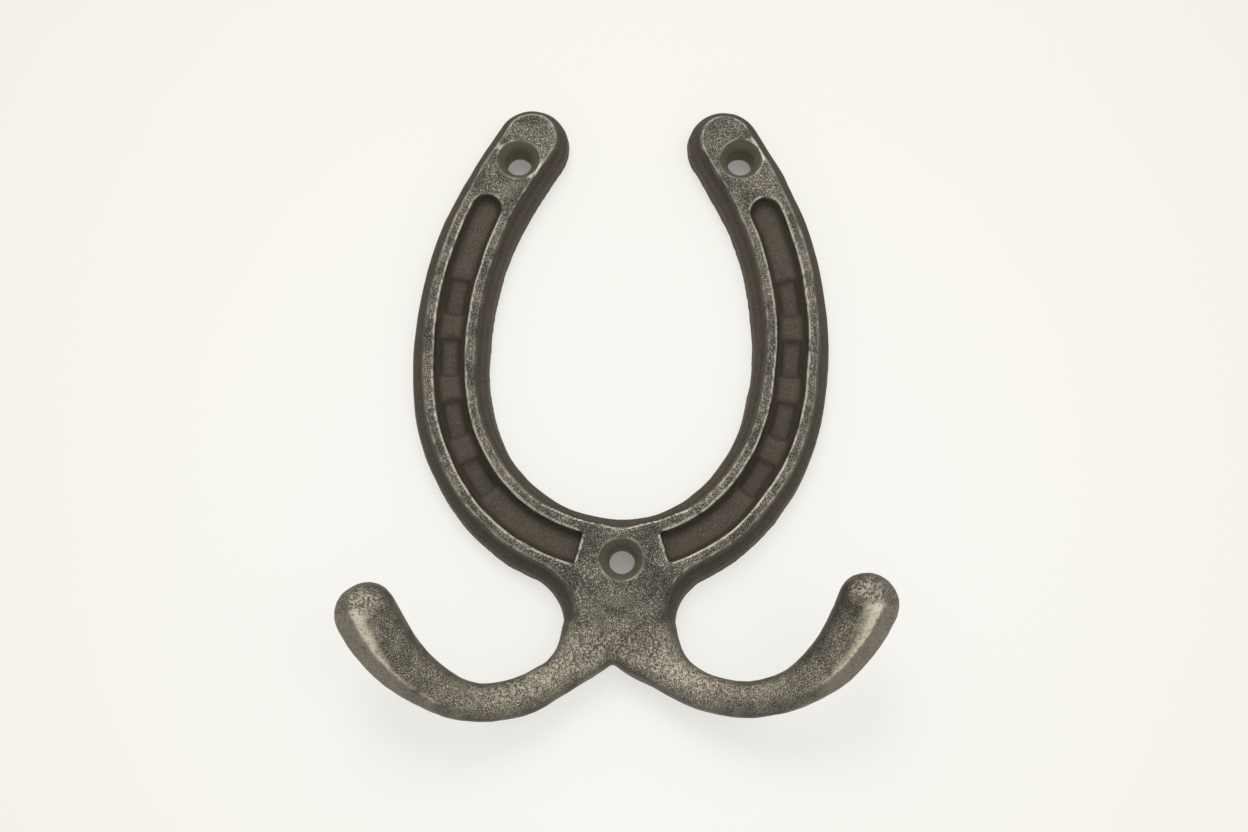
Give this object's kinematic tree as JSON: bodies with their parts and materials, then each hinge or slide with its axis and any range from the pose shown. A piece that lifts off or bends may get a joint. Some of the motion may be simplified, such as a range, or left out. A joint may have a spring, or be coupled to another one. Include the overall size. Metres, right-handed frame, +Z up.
{
  "type": "horseshoe coat hook",
  "caption": "Cast-iron wall hook shaped as a horseshoe, heels up, with countersunk screw holes and a curved hook arm on each side below the toe.",
  "frame": {"origin": "on the axis of the lower (toe) screw hole, in the plane of the back face", "axes": "hung on a wall: +Z up towards the heels, -Y out of the wall towards the room, +X to the right as seen from the front; the back face is the plane Y = 0"},
  "size_m": [0.1179, 0.0314, 0.1448],
  "materials": {
    "cast_iron": "dark oiled casting, grey worn edges",
    "worn_iron": "dark oiled casting, rubbed bright along the crowns and tips"
  },
  "bodies": {
    "root": {"toe_plate": "cast_iron", "left_branch": "cast_iron", "right_branch": "cast_iron", "left_heel": "cast_iron", "right_heel": "cast_iron", "left_hook": "worn_iron", "right_hook": "worn_iron"}
  },
  "joints": []
}
